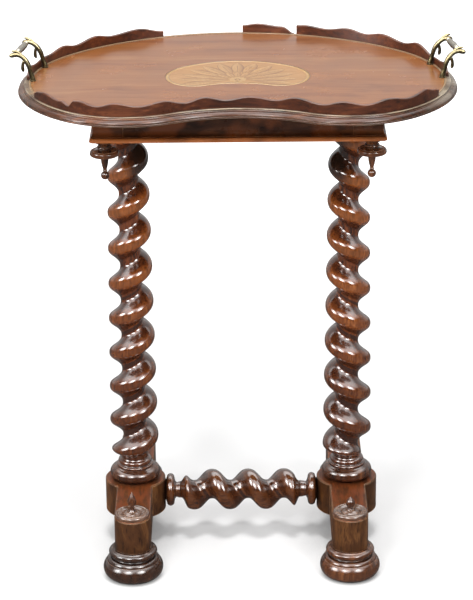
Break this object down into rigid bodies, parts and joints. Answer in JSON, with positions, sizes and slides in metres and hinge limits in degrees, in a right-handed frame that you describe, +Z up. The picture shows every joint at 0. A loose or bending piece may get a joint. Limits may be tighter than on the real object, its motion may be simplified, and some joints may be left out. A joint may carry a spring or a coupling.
{
  "type": "tray top tea table",
  "caption": "Small occasional table: a lift-off kidney tray with wavy gallery, inlay and brass handles on a stand of barley-twist columns, slab feet and twist stretcher",
  "frame": {"origin": "on the floor, under the middle of the table's bounding box", "axes": "+Z up, +Y to the back (away from the tray's notched front edge), +X to the right as seen from the front"},
  "size_m": [0.6336, 0.4433, 0.7611],
  "materials": {
    "tray_panel_wood": "glossy polished mahogany",
    "inlay_satinwood": "polished satinwood with marquetry",
    "dark_mahogany": "polished",
    "gallery_wood": "polished, worn edges",
    "frame_wood": "polished walnut",
    "twist_wood": "glossy polished walnut",
    "base_wood": "polished walnut",
    "plain_wood": "unpolished",
    "brass": "aged cast brass",
    "steel_screws": "darkened"
  },
  "bodies": {
    "stand": {"corner_block_back_right": "frame_wood", "corner_block_back_left": "frame_wood", "corner_block_front_right": "frame_wood", "corner_block_front_left": "frame_wood", "rail_back": "frame_wood", "rail_front": "frame_wood", "rail_right": "frame_wood", "rail_left": "frame_wood", "bearer_right": "plain_wood", "glue_strip_right": "plain_wood", "bearer_left": "plain_wood", "glue_strip_left": "plain_wood", "pendant_back_right": "frame_wood", "pendant_back_left": "frame_wood", "pendant_front_right": "frame_wood", "pendant_front_left": "frame_wood", "column_right": "twist_wood", "base_ring_right": "twist_wood", "column_left": "twist_wood", "base_ring_left": "twist_wood", "stretcher": "twist_wood", "foot_slab_right": "base_wood", "foot_front_right": "base_wood", "cap_front_right": "base_wood", "finial_front_right": "base_wood", "foot_back_right": "base_wood", "cap_back_right": "base_wood", "finial_back_right": "base_wood", "foot_slab_left": "base_wood", "foot_front_left": "base_wood", "cap_front_left": "base_wood", "finial_front_left": "base_wood", "foot_back_left": "base_wood", "cap_back_left": "base_wood", "finial_back_left": "base_wood"},
    "tray": {"tray_board": "tray_panel_wood", "tray_inlay": "inlay_satinwood", "tray_edge_moulding": "dark_mahogany", "tray_cleat_back": "plain_wood", "tray_cleat_front": "plain_wood", "cleat_screws": "steel_screws", "handle_screws": "brass", "gallery_front": "gallery_wood", "gallery_front_left": "gallery_wood", "gallery_back_left": "gallery_wood", "gallery_back_centre": "gallery_wood", "gallery_back_right": "gallery_wood", "handle_right_rear_branch": "brass", "handle_right_front_branch": "brass", "handle_right_grip": "brass", "handle_left_rear_branch": "brass", "handle_left_front_branch": "brass", "handle_left_grip": "brass"}
  },
  "joints": [
    {"name": "tray_lift", "type": "slide", "parent": "stand", "child": "tray", "axis": [0, 0, 1], "range_m": [0, 0.15]}
  ]
}
